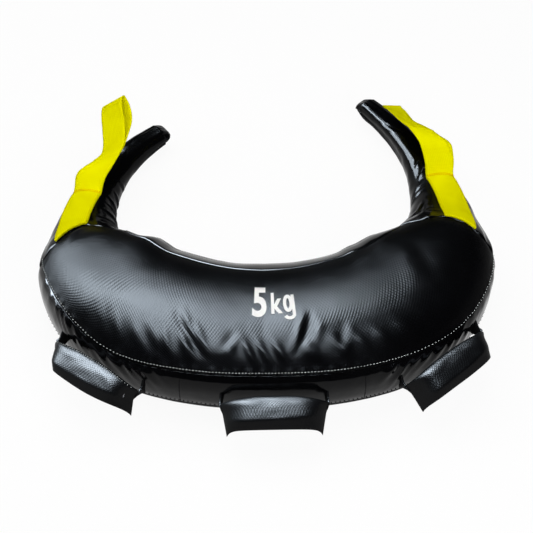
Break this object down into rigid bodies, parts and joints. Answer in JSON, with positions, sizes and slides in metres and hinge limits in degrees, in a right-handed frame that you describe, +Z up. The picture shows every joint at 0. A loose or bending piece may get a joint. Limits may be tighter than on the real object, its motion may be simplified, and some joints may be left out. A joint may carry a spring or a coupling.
{
  "type": "bulgarian bag",
  "caption": "Crescent training bag of stuffed black vinyl with tapered horns, padded grips along the belly and a yellow webbing strap loop on each horn.",
  "frame": {"origin": "on the floor under the middle of the belly's centre line, with the bag lying flat", "axes": "+Z up from the floor, -Y out from the belly towards the centre grip, +Y towards the horns, +X to the right as seen from the belly's side"},
  "size_m": [0.5724, 0.5762, 0.1265],
  "materials": {
    "coated_vinyl": "black coated vinyl with a fine carbon weave grain, satin",
    "gloss_vinyl": "smooth black vinyl, glossy",
    "grip_vinyl": "black vinyl with a fine grain, satin",
    "yellow_webbing": "bright yellow ribbed polyester webbing, matt",
    "wool_wadding": "loose grey-brown wool filling, matt",
    "sack_cloth": "dark woven cloth of the sand sack, matt",
    "grey_foam": "dark grey closed-cell foam, matt"
  },
  "bodies": {
    "bag": {"front_panel": "coated_vinyl", "back_panel": "coated_vinyl", "inner_gusset": "gloss_vinyl", "outer_gusset": "gloss_vinyl", "upper_wadding": "wool_wadding", "lower_wadding": "wool_wadding", "sand_sack": "sack_cloth", "left_horn_sleeve": "gloss_vinyl", "left_horn_wadding": "wool_wadding", "left_horn_tip": "gloss_vinyl", "left_strap_lap": "yellow_webbing", "right_horn_sleeve": "gloss_vinyl", "right_horn_wadding": "wool_wadding", "right_horn_tip": "gloss_vinyl", "right_strap_lap": "yellow_webbing", "left_grip_left_tab": "grip_vinyl", "left_grip_right_tab": "grip_vinyl", "centre_grip_left_tab": "grip_vinyl", "centre_grip_right_tab": "grip_vinyl", "right_grip_left_tab": "grip_vinyl", "right_grip_right_tab": "grip_vinyl"},
    "left_strap": {"left_strap_loop": "yellow_webbing"},
    "right_strap": {"right_strap_loop": "yellow_webbing"},
    "left_grip": {"left_grip_cover": "grip_vinyl", "left_grip_foam": "grey_foam"},
    "centre_grip": {"centre_grip_cover": "grip_vinyl", "centre_grip_foam": "grey_foam"},
    "right_grip": {"right_grip_cover": "grip_vinyl", "right_grip_foam": "grey_foam"}
  },
  "joints": [
    {"name": "left_strap_fold", "type": "hinge", "parent": "bag", "child": "left_strap", "pos_m": [-0.23262, 0.23841, 0.06422], "axis": [0.962, -0.2062, 0.1791], "range_deg": [-10, 110]},
    {"name": "right_strap_fold", "type": "hinge", "parent": "bag", "child": "right_strap", "pos_m": [0.23438, 0.26617, 0.06591], "axis": [0.9657, 0.1894, -0.1778], "range_deg": [-5, 85]},
    {"name": "left_grip_lift", "type": "hinge", "parent": "bag", "child": "left_grip", "pos_m": [-0.19448, -0.0428, 0.053], "axis": [-0.8147, 0.5799, 0], "range_deg": [-25, 15]},
    {"name": "centre_grip_lift", "type": "hinge", "parent": "bag", "child": "centre_grip", "pos_m": [0.01265, -0.09486, 0.053], "axis": [-0.9998, -0.0195, 0], "range_deg": [-25, 15]},
    {"name": "right_grip_lift", "type": "hinge", "parent": "bag", "child": "right_grip", "pos_m": [0.22049, -0.02461, 0.053], "axis": [-0.7369, -0.676, 0], "range_deg": [-25, 15]}
  ]
}
